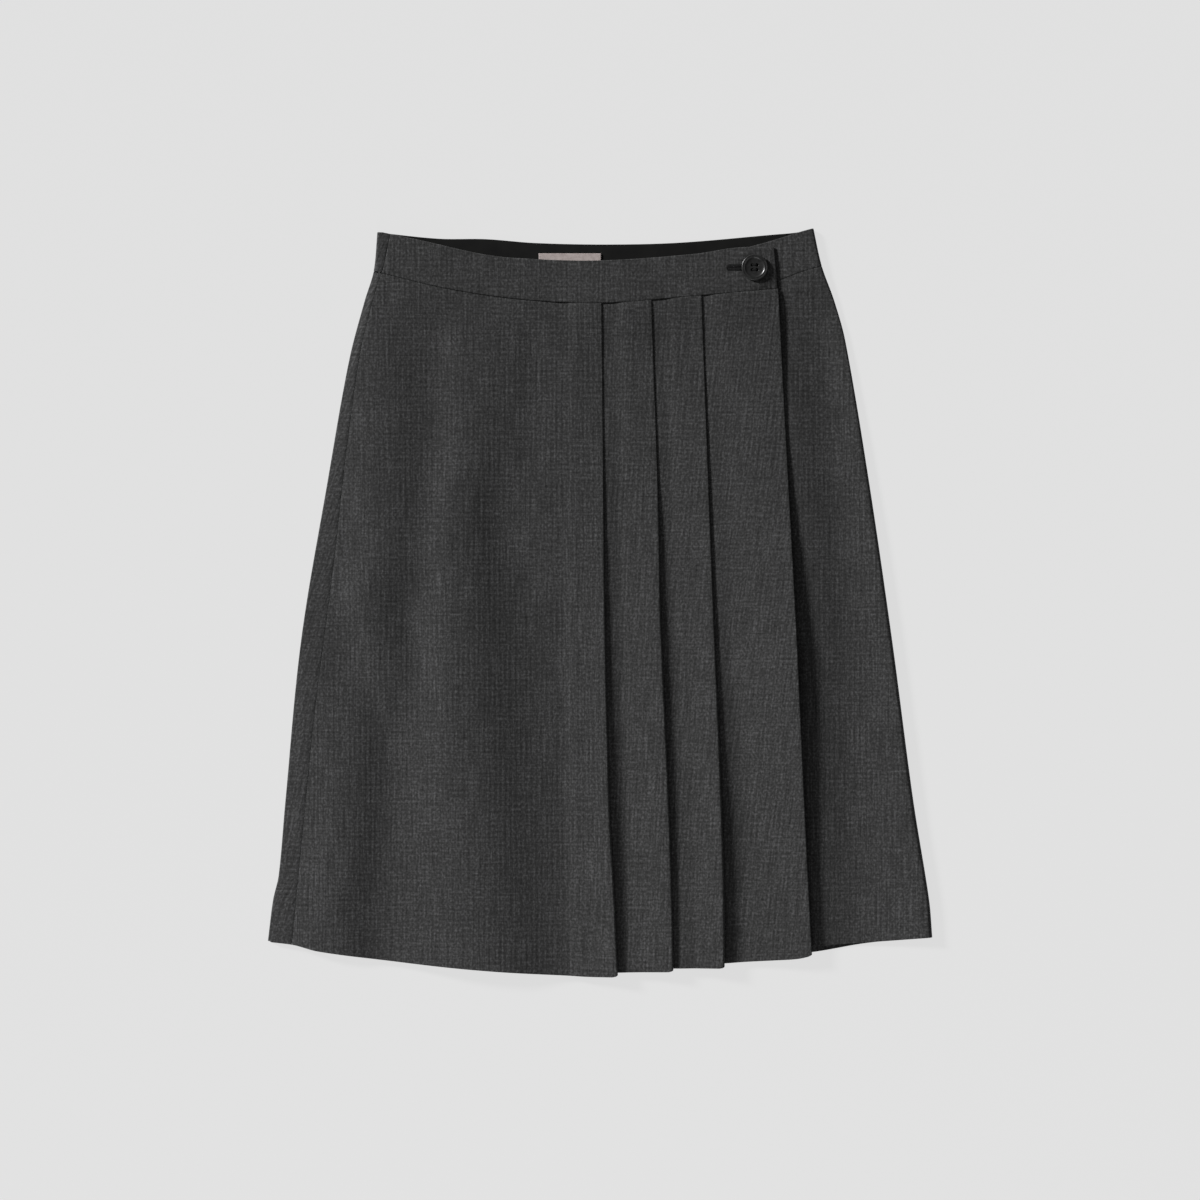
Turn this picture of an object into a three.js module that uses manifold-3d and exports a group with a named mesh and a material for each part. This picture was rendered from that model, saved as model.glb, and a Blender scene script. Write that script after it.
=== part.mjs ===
// A pleated wrap skirt of charcoal wool, laid flat and front up on the surface z = 0, in millimetres.
// The waist is toward +Y and the hem toward -Y. Every piece of cloth is a wall of constant thickness on
// a mid surface: a row of stations across the cloth, repeated in rows from its top edge to its bottom edge.
import * as THREE from "three";
import { mergeVertices } from "three/addons/utils/BufferGeometryUtils.js";
import Module from "manifold-3d";

const wasm = await Module();
wasm.setup();

// Driving dimensions.
const CLOTH = 1.0; // thickness of one layer of the wool
const BAND = 1.6; // thickness of a doubled waistband
const GAP = 0.3; // clear space between layers, and between pieces at a seam
const LAYER = CLOTH + GAP; // step from one layer of cloth to the next
const BACK_WRAP = 12; // how far the right front reaches round to the back
const FACING_WIDTH = 30; // cloth turned under along the wrap edge
const FACING_INSET = 0.8; // of the black facing below the top edge of the back band
const UNDER_INSET = 40; // from the left seam to the hidden edge of the under panel
const BUTTON_CENTRE = [129.8, 281.2];
const BUTTON_DIAMETER = 22;
const BUTTON_HEIGHT = 3;
const BUTTON_LIFT = 0.9; // from the face of the band to the underside of the button
const HOLE_SPACING = 4; // between neighbouring holes of the button
const HOLE_DIAMETER = 2.2;
const SHANK_DIAMETER = 2.6; // of the wound thread below the button
const THREAD_DIAMETER = 1.3; // of the thread in each hole
const BUTTONHOLE_LENGTH = 24; // a slit that ends in a round eyelet at the shank
const BUTTONHOLE_SLIT = 1.2;
const EYELET_DIAMETER = 3.6;
const LABEL = { left: -51.2, top: 293.6, width: 51.7, height: 13 };

// Heights of the middle of each layer where the cloth has settled, and of the bands, stacked higher.
const BACK_LEVEL = CLOTH / 2;
const UNDER_LEVEL = BACK_LEVEL + LAYER;
const WRAP_LEVEL = UNDER_LEVEL + LAYER;
const FACING_LEVEL = BACK_LEVEL + LAYER;
const LABEL_LEVEL = FACING_LEVEL + LAYER;
const UNDER_BAND_LEVEL = LABEL_LEVEL + CLOTH / 2 + GAP + BAND / 2;
const WAIST_LIFT = 2.8; // how much higher the panels are where they hang from the bands

const CHARCOAL = new THREE.MeshStandardMaterial({ color: "#3a3a3a", roughness: 0.95, metalness: 0 });
const BLACK_FACING = new THREE.MeshStandardMaterial({ color: "#1a1a19", roughness: 0.85, metalness: 0 });
const WOVEN_LABEL = new THREE.MeshStandardMaterial({ color: "#a39a98", roughness: 0.8, metalness: 0 });
const BLACK_RESIN = new THREE.MeshStandardMaterial({ color: "#141414", roughness: 0.25, metalness: 0 });
const BLACK_THREAD = new THREE.MeshStandardMaterial({ color: "#1c1c1c", roughness: 0.9, metalness: 0 });

const mix = THREE.MathUtils.lerp;
const ease = THREE.MathUtils.smoothstep; // of a value between a start and an end, from 0 to 1
const ramp = (value, start, end) => THREE.MathUtils.clamp((value - start) / (end - start), 0, 1);

// A smooth line through a few [position, value] points, as a function of the position.
function line(points) {
  const slope = (i) => {
    const [x0, v0] = points[Math.max(i - 1, 0)];
    const [x1, v1] = points[Math.min(i + 1, points.length - 1)];
    return (v1 - v0) / (x1 - x0);
  };
  return (position) => {
    let i = 0;
    while (i < points.length - 2 && position > points[i + 1][0]) i++;
    const [x0, v0] = points[i];
    const [x1, v1] = points[i + 1];
    const step = x1 - x0;
    const t = (position - x0) / step;
    if (t < 0) return v0 + slope(i) * (position - x0);
    if (t > 1) return v1 + slope(i + 1) * (position - x1);
    return (
      (1 + 2 * t) * (1 - t) ** 2 * v0 +
      t * (1 - t) ** 2 * step * slope(i) +
      t * t * (3 - 2 * t) * v1 +
      t * t * (t - 1) * step * slope(i + 1)
    );
  };
}

// Lines that run down the skirt: x as a function of y.
const leftFold = line([[-284, -279.3], [-250, -275], [-230, -270.4], [-166, -264.6], [-31, -251.4],
  [103, -229], [204, -211], [254, -197.9], [279, -190.3], [311, -187.3]]);
const rightFold = line([[-281, 279.3], [-250, 276.7], [-166, 263.3], [-31, 245.5], [103, 226],
  [220, 206.4], [254, 197], [283, 186.5], [315, 179.4]]);
const sideSeam = line([[-288, -259], [-184, -249], [-82, -238.6], [36, -223.4], [125, -213.4],
  [213, -200.8], [265, -187.7], [281, -182.3], [307, -176.8]]);
const pleatEdges = [
  line([[-313, 13.5], [-250, 10.9], [-169, 6.7], [-8, 4.2], [252, 1.3]]),
  line([[-310, 60], [-250, 58.8], [-169, 56.3], [-8, 50.4], [73, 49.3], [252, 43.2]]),
  line([[-307, 102.5], [-250, 102.2], [-169, 100], [-8, 94.1], [252, 85.5]]),
];
const wrapEdge = line([[-297, 178], [-169, 171.4], [-8, 163.8], [153, 155.4], [262, 149.8]]);

// Lines that run across the skirt: y as a function of x.
const wrapSeam = line([[-190, 278.6], [-131, 264.2], [-70, 255], [0, 251.5], [75, 257], [150, 263.7]]);
const wrapBandTop = line([[-187, 312], [-151, 304.3], [-100, 292.8], [-70, 289.3], [0, 287.2],
  [80, 292.7], [113, 297.8], [146, 298.8]]);
const underSeam = line([[-160, 272.5], [-70, 256.2], [0, 252.6], [75, 258.2], [131, 265.4], [153, 271.7],
  [171, 278.4], [186.5, 282.7]]);
const underBandTop = line([[-150, 302.3], [-70, 287.6], [0, 285.4], [80, 290.8], [113, 296.2], [131, 300.3],
  [153, 306.7], [167, 311.2], [179.4, 314.6]]);
const backBandTop = line([[-187.3, 311.4], [-136, 306.2], [-96, 305.8], [-55, 302.6], [5, 301.3], [66, 302.8],
  [146, 309.6], [167, 311.6], [179.4, 314.6]]);
const backSeam = line([[-190.3, 278.5], [-136, 271.2], [-96, 270.8], [-55, 267.6], [5, 266.3], [66, 267.8],
  [146, 275.2], [186.5, 282.7]]);
const wrapHems = [
  line([[-279, -285.4], [-257, -288], [-237, -293], [-166, -302.4], [-86, -309.8], [-15, -314.3],
    [14, -314.6]]),
  line([[13, -311], [60, -310.2]]),
  line([[60, -307.5], [103, -307.1]]),
  line([[103, -303.2], [146, -300.7], [166, -299.2], [178, -296.5]]),
];
const underHem = line([[-230, -288], [0, -300], [140, -292], [179, -289], [223, -286], [279.3, -281.4]]);
const backHem = line([[-279.3, -284.6], [-140, -299], [0, -305], [110, -301], [179, -294.2], [224, -286.6],
  [279.3, -281.4]]);

// Sizes that change down the skirt, from 0 at the waist seam to 1 at the hem.
const pleatDepth = line([[0, 20], [1, 30]]);
const edgeRadius = line([[0, 0.65], [0.3, 0.8], [1, 1.3]]); // of a pleat's outer fold
const innerRadius = line([[0, 0.65], [0.3, 0.7], [1, 0.95]]); // of a pleat's hidden fold
const wrapEdgeRadius = line([[0, 0.65], [1, 0.9]]);
const wrapEdgeRise = line([[0, 2.6], [0.07, 4], [0.25, 3.2], [0.42, 5.4], [0.6, 7.4], [0.8, 6.4], [1, 5]]);
const waistLift = (down) => WAIST_LIFT * (1 - ease(down, 0, 0.1));

// The largest soft folds of the front: the line of each crest, its height, and its reach to -X and +X.
const SOFT_FOLDS = [
  {
    crest: line([[-315, -140], [-222, -134], [-82, -122], [58, -112], [226, -112]]),
    height: line([[-315, 5.4], [60, 5.4], [200, 2.6], [262, 0]]),
    reach: [28, 52],
  },
  {
    crest: line([[-130, -168], [-30, -190], [58, -208], [110, -216]]),
    height: line([[-160, 0], [-90, 2], [30, 2], [110, 0]]),
    reach: [16, 18],
  },
  {
    crest: line([[-310, -215], [-116, -208], [-60, -204]]),
    height: line([[-315, 2.8], [-180, 2.8], [-80, 0]]),
    reach: [22, 22],
  },
];

function softRelief(x, y) {
  let total = 0;
  for (const { crest, height, reach } of SOFT_FOLDS) {
    const aside = x - crest(y);
    total += Math.max(height(y), 0) * Math.exp(-((aside / reach[aside < 0 ? 0 : 1]) ** 2));
  }
  return Math.min(total, 6.2);
}

// Under the wrap edge the under panel is pushed up a little, and by the right fold it is softly rounded.
function underLevel(x, y, down) {
  const belowWrapEdge = 1.9 * ease(down, 0.02, 0.45) * Math.exp(-(((x - wrapEdge(y) + 12) / 25) ** 2));
  const byRightFold = 1.2 * ease(down, 0, 0.1) * ease(x, wrapEdge(y) + 20, rightFold(y) - 15);
  return UNDER_LEVEL + waistLift(down) + 0.45 * softRelief(x, y) + belowWrapEdge + byRightFold;
}

// The lowest layer of the wrap panel. Left of the under panel it sinks toward the back.
function wrapLevel(x, y, down) {
  return WRAP_LEVEL + waistLift(down) * mix(0.4, 1, ease(x, -183, -148)) + softRelief(x, y);
}

// The wrap panel climbs from `start`, over the hidden layers of the pleat, to the pleat's fold at `edge`.
function pleatRise(x, y, down, start, edge) {
  const stack = edge(y) - pleatDepth(down);
  const overHiddenFold = 2 * innerRadius(down) + LAYER;
  const atEdge = 2 * edgeRadius(down) - LAYER;
  const flatEnd = edge(y) - edgeRadius(down) - CLOTH / 2;
  return overHiddenFold * ease(x, start(y), stack) + atEdge * ramp(x, stack, flatEnd);
}

// A station is one line down the cloth, from top(x) to bottom(x): x = along(y, down), z = height(x, y, down).
const station = (along, height, top, bottom) => ({ along, height, top, bottom });

// Stations at the given shares of the way from one line to another.
const between = (from, to, shares, height, top, bottom) =>
  shares.map((share) => station((y, down) => mix(from(y, down), to(y, down), share), height, top, bottom));

const evenShares = (count) => Array.from({ length: count + 1 }, (_, i) => i / count);

// Half a turn of the cloth, from its upper to its lower layer. The outer face touches the line `edge`, on the
// side given as 1 for +X or -1 for -X.
function halfTurn(edge, side, thickness, radius, upper, top, bottom, steps = 4) {
  return evenShares(steps).map((share) => {
    const angle = Math.PI * (0.5 - share);
    return station(
      (y, down) => edge(y, down) - side * (radius(y, down) * (1 - Math.cos(angle)) + thickness / 2),
      (x, y, down) => upper(x, y, down) - radius(y, down) * (1 - Math.sin(angle)),
      top,
      bottom,
    );
  });
}

// The middle of the cloth at a station, at a share of the way down from its top edge to its bottom edge.
function midPoint({ along, height, top, bottom }, down) {
  let y = mix(270, -295, down);
  for (let pass = 0; pass < 5; pass++) {
    const x = along(y, down);
    y = mix(top(x), bottom(x), down);
  }
  const x = along(y, down);
  return new THREE.Vector3(x, y, height(x, y, down));
}

// A closed wall of cloth on the stations. Each face is the mid surface moved along its normal by half the
// thickness.
function wall(stations, rows, thickness) {
  const across = stations.length;
  const points = [];
  for (const down of rows) {
    const middle = stations.map((each) => midPoint(each, down));
    middle.forEach((point, i) => {
      const along = middle[Math.min(i + 1, across - 1)].clone().sub(middle[Math.max(i - 1, 0)]);
      const length = Math.hypot(along.x, along.z);
      const offset = new THREE.Vector3(-along.z / length, 0, along.x / length).multiplyScalar(thickness / 2);
      points.push(point.clone().add(offset), point.clone().sub(offset));
    });
  }
  const outer = (row, i) => 2 * (row * across + i);
  const inner = (row, i) => outer(row, i) + 1;
  const faces = [];
  const quad = (a, b, c, d) => faces.push(a, b, c, a, c, d);
  const lastRow = rows.length - 1;
  const last = across - 1;
  for (let row = 0; row < lastRow; row++) {
    for (let i = 0; i < last; i++) {
      quad(outer(row, i), outer(row + 1, i), outer(row + 1, i + 1), outer(row, i + 1));
      quad(inner(row, i), inner(row, i + 1), inner(row + 1, i + 1), inner(row + 1, i));
    }
    quad(outer(row, 0), inner(row, 0), inner(row + 1, 0), outer(row + 1, 0));
    quad(outer(row, last), outer(row + 1, last), inner(row + 1, last), inner(row, last));
  }
  for (let i = 0; i < last; i++) {
    quad(outer(0, i), outer(0, i + 1), inner(0, i + 1), inner(0, i));
    quad(outer(lastRow, i), inner(lastRow, i), inner(lastRow, i + 1), outer(lastRow, i + 1));
  }
  return new THREE.BufferGeometry().setFromPoints(points).setIndex(faces);
}

// Rows are closer together by the waist, where the cloth drops from the bands.
const PANEL_ROWS = [0, 0.03, 0.07, 0.12, 0.2, 0.3, 0.41, 0.52, 0.64, 0.76, 0.88, 0.94, 1];
const BAND_ROWS = [0, 0.5, 1];

const below = (edge) => (x) => edge(x) - GAP / 2;
const above = (edge) => (x) => edge(x) + GAP / 2;
const beside = (edge, offset) => (y) => edge(y) + offset;

// The wrap panel: one cut from the left seam to the wrap edge, with three knife pleats that face right.
function wrapPanel() {
  const top = below(wrapSeam);
  const stations = [];
  let from = beside(sideSeam, GAP / 2);
  let riseStart = beside(pleatEdges[0], -75);
  let shares = evenShares(17);
  pleatEdges.forEach((edge, k) => {
    const hem = wrapHems[k];
    const nextHem = wrapHems[k + 1];
    const start = riseStart;
    const outer = (y, down) => edgeRadius(down);
    const inner = (y, down) => innerRadius(down);
    const upper = (x, y, down) => wrapLevel(x, y, down) + pleatRise(x, y, down, start, edge);
    const foldTop = (x, y, down) => wrapLevel(x, y, down) + 2 * (innerRadius(down) + edgeRadius(down));
    const returned = (x, y, down) => wrapLevel(x, y, down) + 2 * innerRadius(down);
    const flatEnd = (y, down) => edge(y) - edgeRadius(down) - CLOTH / 2;
    const hiddenFold = (y, down) => edge(y) - pleatDepth(down);
    const hiddenEnd = (y, down) => hiddenFold(y, down) + innerRadius(down) + CLOTH / 2;
    stations.push(...between(from, flatEnd, shares, upper, top, hem));
    stations.push(...halfTurn(edge, 1, CLOTH, outer, foldTop, top, hem).slice(1));
    stations.push(...between(flatEnd, hiddenEnd, [0.5], returned, top, (x) => mix(hem(x), nextHem(x), 0.5)));
    stations.push(...halfTurn(hiddenFold, -1, CLOTH, inner, returned, top, nextHem));
    stations.push(...between(hiddenEnd, edge, [0.6], wrapLevel, top, nextHem));
    from = edge;
    riseStart = edge;
    shares = [0.05, 0.2, 0.36, 0.52, 0.7, 1];
  });

  const hem = wrapHems[pleatEdges.length];
  const radius = (y, down) => wrapEdgeRadius(down);
  const lastPleat = riseStart;
  const flatEnd = (y, down) => wrapEdge(y) - wrapEdgeRadius(down) - CLOTH / 2;
  const upper = (x, y, down) =>
    wrapLevel(x, y, down) + wrapEdgeRise(down) * ramp(x, lastPleat(y), flatEnd(y, down));
  const turned = (x, y, down) => upper(x, y, down) - 2 * wrapEdgeRadius(down);
  stations.push(...between(from, flatEnd, [0.05, 0.25, 0.5, 0.75, 1], upper, top, hem));
  stations.push(...halfTurn(wrapEdge, 1, CLOTH, radius, upper, top, hem).slice(1));
  stations.push(...between(flatEnd, beside(wrapEdge, -FACING_WIDTH), [0.5, 1], turned, top, hem));
  return wall(stations, PANEL_ROWS, CLOTH);
}

// The under panel lies below the wrap panel and turns round the right fold to the back.
function underPanel() {
  const top = below(underSeam);
  const start = beside(sideSeam, UNDER_INSET);
  const radius = (y, down) => (underLevel(rightFold(y), y, down) - BACK_LEVEL) / 2;
  const flatEnd = (y, down) => rightFold(y) - radius(y, down) - CLOTH / 2;
  const foldTop = (x, y, down) => underLevel(rightFold(y), y, down);
  const backEnd = beside(rightFold, GAP / 2 - BACK_WRAP);
  const stations = [
    ...between(start, flatEnd, evenShares(20), underLevel, top, underHem),
    ...halfTurn(rightFold, 1, CLOTH, radius, foldTop, top, underHem, 6).slice(1),
    ...between(flatEnd, backEnd, [0.5, 1], () => BACK_LEVEL, top, underHem),
  ];
  return wall(stations, PANEL_ROWS, CLOTH);
}

// The back panel is flat where it rests, and turns round the left fold to the side seam on the front.
function backPanel() {
  const top = below(backSeam);
  const level = (y, down) => wrapLevel(sideSeam(y), y, down);
  const radius = (y, down) => (level(y, down) - BACK_LEVEL) / 2;
  const flatEnd = (y, down) => leftFold(y) + radius(y, down) + CLOTH / 2;
  const upper = (x, y, down) => level(y, down);
  const backEnd = beside(rightFold, -BACK_WRAP - GAP / 2);
  const stations = [
    ...between(beside(sideSeam, -GAP / 2), flatEnd, [0, 0.5], upper, below(wrapSeam), wrapHems[0]),
    ...halfTurn(leftFold, -1, CLOTH, radius, upper, top, backHem, 6),
    ...between(flatEnd, backEnd, evenShares(18).slice(1), () => BACK_LEVEL, top, backHem),
  ];
  return wall(stations, PANEL_ROWS, CLOTH);
}

// The wrap band follows the panels below it: low by the side seam, and higher over the pleats.
const OVER_UNDER_BAND = BAND + GAP;
const OVER_PLEATS = OVER_UNDER_BAND + LAYER;
const wrapBandLevel = line([
  [-183, UNDER_BAND_LEVEL],
  [-146, UNDER_BAND_LEVEL + OVER_UNDER_BAND],
  [-40, UNDER_BAND_LEVEL + OVER_UNDER_BAND],
  [0, UNDER_BAND_LEVEL + OVER_PLEATS],
  [150, UNDER_BAND_LEVEL + OVER_PLEATS],
]);
const wrapBandEnd = line([[263, 149.3], [299, 146.1]]);

function wrapBand() {
  const level = (x) => wrapBandLevel(x);
  const start = beside(sideSeam, GAP / 2);
  const stations = between(start, wrapBandEnd, evenShares(26), level, wrapBandTop, above(wrapSeam));
  return cut(wall(stations, BAND_ROWS, BAND), buttonholeCutter());
}

// The under band lies below it, carries the button, and turns round the right fold with the under panel.
function underBand() {
  const top = underBandTop;
  const bottom = above(underSeam);
  const radius = () => (UNDER_BAND_LEVEL - BAND / 2) / 2;
  const flatEnd = (y) => rightFold(y) - radius() - BAND / 2;
  const level = () => UNDER_BAND_LEVEL;
  const stations = [
    ...between(beside(sideSeam, UNDER_INSET + 8), flatEnd, evenShares(18), level, top, bottom),
    ...halfTurn(rightFold, 1, BAND, radius, level, top, bottom, 6).slice(1),
    ...between(flatEnd, beside(rightFold, GAP / 2 - BACK_WRAP), [0.5, 1], () => BAND / 2, top, bottom),
  ];
  return wall(stations, BAND_ROWS, BAND);
}

// The back band lies on the surface and turns round the left fold to meet the wrap band.
function backBand() {
  const bottom = above(backSeam);
  const upper = () => UNDER_BAND_LEVEL + (BAND - CLOTH) / 2;
  const radius = () => (upper() - BACK_LEVEL) / 2;
  const flatEnd = (y) => leftFold(y) + radius() + CLOTH / 2;
  const backEnd = beside(rightFold, -BACK_WRAP - GAP / 2);
  const stations = [
    ...between(beside(sideSeam, -GAP / 2), flatEnd, [0, 0.5], upper, wrapBandTop, above(wrapSeam)),
    ...halfTurn(leftFold, -1, CLOTH, radius, upper, backBandTop, bottom, 6),
    ...between(flatEnd, backEnd, evenShares(18).slice(1), () => BACK_LEVEL, backBandTop, bottom),
  ];
  return wall(stations, BAND_ROWS, CLOTH);
}

// The black facing lines the back band between the two folds, a little inside its top edge.
function backFacing() {
  const top = (x) => backBandTop(x) - FACING_INSET;
  const left = beside(leftFold, 12);
  const right = beside(rightFold, -BACK_WRAP - 1);
  const stations = between(left, right, evenShares(16), () => FACING_LEVEL, top, above(backSeam));
  return wall(stations, BAND_ROWS, CLOTH);
}

function backLabel() {
  const shape = new THREE.BoxGeometry(LABEL.width, LABEL.height, CLOTH);
  return shape.translate(LABEL.left + LABEL.width / 2, LABEL.top - LABEL.height / 2, LABEL_LEVEL);
}

// Turns a closed geometry into a manifold solid and back.
function toSolid(geometry) {
  const bare = geometry.clone();
  bare.deleteAttribute("normal");
  bare.deleteAttribute("uv");
  const merged = mergeVertices(bare, 1e-3);
  const mesh = new wasm.Mesh({
    numProp: 3,
    vertProperties: new Float32Array(merged.attributes.position.array),
    triVerts: new Uint32Array(merged.index.array),
  });
  return new wasm.Manifold(mesh);
}

function toGeometry(solid) {
  const { vertProperties, triVerts } = solid.getMesh();
  return new THREE.BufferGeometry()
    .setAttribute("position", new THREE.BufferAttribute(vertProperties, 3))
    .setIndex(new THREE.BufferAttribute(triVerts, 1));
}

const cut = (geometry, cutter) => toGeometry(toSolid(geometry).subtract(toSolid(cutter)));

// The keyhole buttonhole: a slit along the band and a round eyelet about the button's shank.
function buttonholeCutter() {
  const [x, y] = BUTTON_CENTRE;
  const radius = EYELET_DIAMETER / 2;
  const halfSlit = BUTTONHOLE_SLIT / 2;
  const mouth = Math.asin(halfSlit / radius);
  const outline = new THREE.Shape();
  outline.absarc(x, y, radius, mouth - Math.PI, Math.PI - mouth);
  outline.absarc(x + radius - BUTTONHOLE_LENGTH + halfSlit, y, halfSlit, Math.PI / 2, (3 * Math.PI) / 2);
  return new THREE.ExtrudeGeometry(outline, { depth: 12, bevelEnabled: false, curveSegments: 8 });
}

const BUTTON_BASE = wrapBandLevel(BUTTON_CENTRE[0]) + BAND / 2 + BUTTON_LIFT;
const DISH = 0.55 * BUTTON_HEIGHT; // height of the dished middle over the underside

const upright = (x, y, diameter, bottom, top, sides) =>
  new THREE.CylinderGeometry(diameter / 2, diameter / 2, top - bottom, sides)
    .rotateX(Math.PI / 2)
    .translate(x, y, (bottom + top) / 2);

const holeCentres = [[-1, -1], [1, -1], [1, 1], [-1, 1]].map(([i, j]) => [
  BUTTON_CENTRE[0] + (i * HOLE_SPACING) / 2,
  BUTTON_CENTRE[1] + (j * HOLE_SPACING) / 2,
]);

// A round button with a raised rim and a dished middle, pierced by four holes.
function button() {
  const radius = BUTTON_DIAMETER / 2;
  const profile = [[0, 0], [radius - 2.2, 0], [radius - 0.6, 0.8], [radius, 1.6], [radius - 0.3, 2.5],
    [radius - 1.3, BUTTON_HEIGHT], [radius - 2.4, BUTTON_HEIGHT - 0.3], [radius - 3.6, DISH + 0.2],
    [0, DISH]];
  const points = profile.map(([r, z]) => new THREE.Vector2(r, z));
  const turned = new THREE.LatheGeometry(points, 36)
    .rotateX(Math.PI / 2)
    .translate(BUTTON_CENTRE[0], BUTTON_CENTRE[1], BUTTON_BASE);
  let solid = toSolid(turned);
  for (const [x, y] of holeCentres) {
    const hole = upright(x, y, HOLE_DIAMETER, BUTTON_BASE - 1, BUTTON_BASE + BUTTON_HEIGHT, 14);
    solid = solid.subtract(toSolid(hole));
  }
  return toGeometry(solid);
}

// The thread: a shank that rises from the under band through the eyelet, a wound collar below the button,
// a leg in each hole, and two bars across the dished middle.
function buttonThread() {
  const foot = UNDER_BAND_LEVEL + BAND / 2 + GAP;
  const collarTop = BUTTON_BASE - GAP;
  const collarBottom = BUTTON_BASE - BUTTON_LIFT + GAP;
  const barBottom = BUTTON_BASE + DISH + GAP;
  const barHeight = 0.7;
  const [x, y] = BUTTON_CENTRE;
  const collarDiameter = Math.SQRT2 * HOLE_SPACING + THREAD_DIAMETER;
  let solid = toSolid(upright(x, y, SHANK_DIAMETER, foot, collarTop, 14));
  solid = solid.add(toSolid(upright(x, y, collarDiameter, collarBottom, collarTop, 20)));
  for (const [holeX, holeY] of holeCentres) {
    const leg = upright(holeX, holeY, THREAD_DIAMETER, collarBottom, barBottom + barHeight / 2, 10);
    solid = solid.add(toSolid(leg));
  }
  for (const side of [-1, 1]) {
    const bar = new THREE.BoxGeometry(HOLE_SPACING, THREAD_DIAMETER, barHeight);
    bar.translate(x, y + (side * HOLE_SPACING) / 2, barBottom + barHeight / 2);
    solid = solid.add(toSolid(bar));
  }
  return toGeometry(solid);
}

const skirt = new THREE.Group();

function add(name, geometry, material) {
  const mesh = new THREE.Mesh(geometry, material);
  mesh.name = name;
  skirt.add(mesh);
}

add("front_wrap_panel", wrapPanel(), CHARCOAL);
add("front_under_panel", underPanel(), CHARCOAL);
add("back_panel", backPanel(), CHARCOAL);
add("wrap_waistband", wrapBand(), CHARCOAL);
add("under_waistband", underBand(), CHARCOAL);
add("back_waistband", backBand(), CHARCOAL);
add("back_waistband_facing", backFacing(), BLACK_FACING);
add("woven_label", backLabel(), WOVEN_LABEL);
add("button", button(), BLACK_RESIN);
add("button_thread", buttonThread(), BLACK_THREAD);

export default skirt;
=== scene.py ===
"""A pleated wrap skirt of charcoal wool suiting, laid flat with its front up.

Lengths in this script are millimetres in the frame of the CAD model, and metres() turns them to Blender's
metres. The waist is toward +Y and the hem toward -Y. "down" is a share of the way from a piece's top edge
to its bottom edge.
"""
import math

import bmesh
import bpy
import numpy as np
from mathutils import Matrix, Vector


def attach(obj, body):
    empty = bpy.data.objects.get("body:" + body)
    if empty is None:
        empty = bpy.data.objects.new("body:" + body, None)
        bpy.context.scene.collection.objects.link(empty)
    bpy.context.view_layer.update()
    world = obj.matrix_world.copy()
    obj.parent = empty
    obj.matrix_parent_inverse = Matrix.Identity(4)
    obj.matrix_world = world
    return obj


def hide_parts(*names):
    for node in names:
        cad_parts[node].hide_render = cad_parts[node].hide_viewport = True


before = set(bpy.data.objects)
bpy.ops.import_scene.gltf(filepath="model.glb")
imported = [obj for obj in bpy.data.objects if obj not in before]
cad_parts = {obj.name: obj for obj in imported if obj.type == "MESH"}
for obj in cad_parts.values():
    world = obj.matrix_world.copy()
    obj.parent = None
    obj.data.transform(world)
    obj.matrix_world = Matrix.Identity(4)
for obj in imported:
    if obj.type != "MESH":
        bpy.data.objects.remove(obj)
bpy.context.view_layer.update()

# ---------------------------------------------------------------- sizes

CLOTH = 0.5  # one layer of the wool
BAND = 1.3  # a doubled waistband with its interfacing
BACK_BAND = 0.9  # the back band, which carries its black facing apart
FACING = 0.7  # the black facing inside the back band
PLEAT_GAP = 0.1  # between the pressed layers of a pleat
SEAM_GAP = 0.03  # from a seam line to the edge of each piece that meets there
SEAM_STEP = 0.25  # how far a panel lies below the band it is sewn to
SEAM_DIP, SEAM_ROLL = 0.2, 1.3  # how far cloth dips at a seam, and over what distance
SETTLE = 0.09  # the share of the way down in which a panel comes from its band to its own level
PRESSED = 1.04  # height of a pleat where it is sewn down
BACK_WRAP = 12  # how far the right front reaches round to the back
BUTTON_X, BUTTON_Y = 129.8, 281.2
PUCKER, PUCKER_RADIUS, PUCKER_REACH = 0.95, 14, 5  # a ring where the band swells round its button
FACING_WIDTH = 30  # cloth turned under along the wrap edge
UNDER_INSET = 40  # from the left seam to the hidden edge of the under panel
WAIST_Y, HEM_Y = 270.0, -295.0  # about where the waist seam and the hem lie
PANEL_LENGTH = WAIST_Y - HEM_Y

# Heights of the middle of each layer where the cloth has settled, close to the CAD model's
BACK_LEVEL = CLOTH / 2
UNDER_LEVEL = 1.8
WRAP_LEVEL = 3.1
FACING_LEVEL = 1.8
LABEL_LEVEL = 2.9
UNDER_BAND_LEVEL = 4.7
BAND_FACE = UNDER_BAND_LEVEL + BAND / 2


def metres(length):
    return np.asarray(length, float) / 1000


def ramp(value, start, end):
    """From 0 at the start to 1 at the end, and held beyond them."""
    return np.clip((value - start) / (end - start), 0, 1)


def smooth(value, start, end):
    """A ramp that starts and ends gently."""
    share = ramp(value, start, end)
    return share * share * (3 - 2 * share)


def mix(a, b, share):
    return a + (b - a) * share


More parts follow.
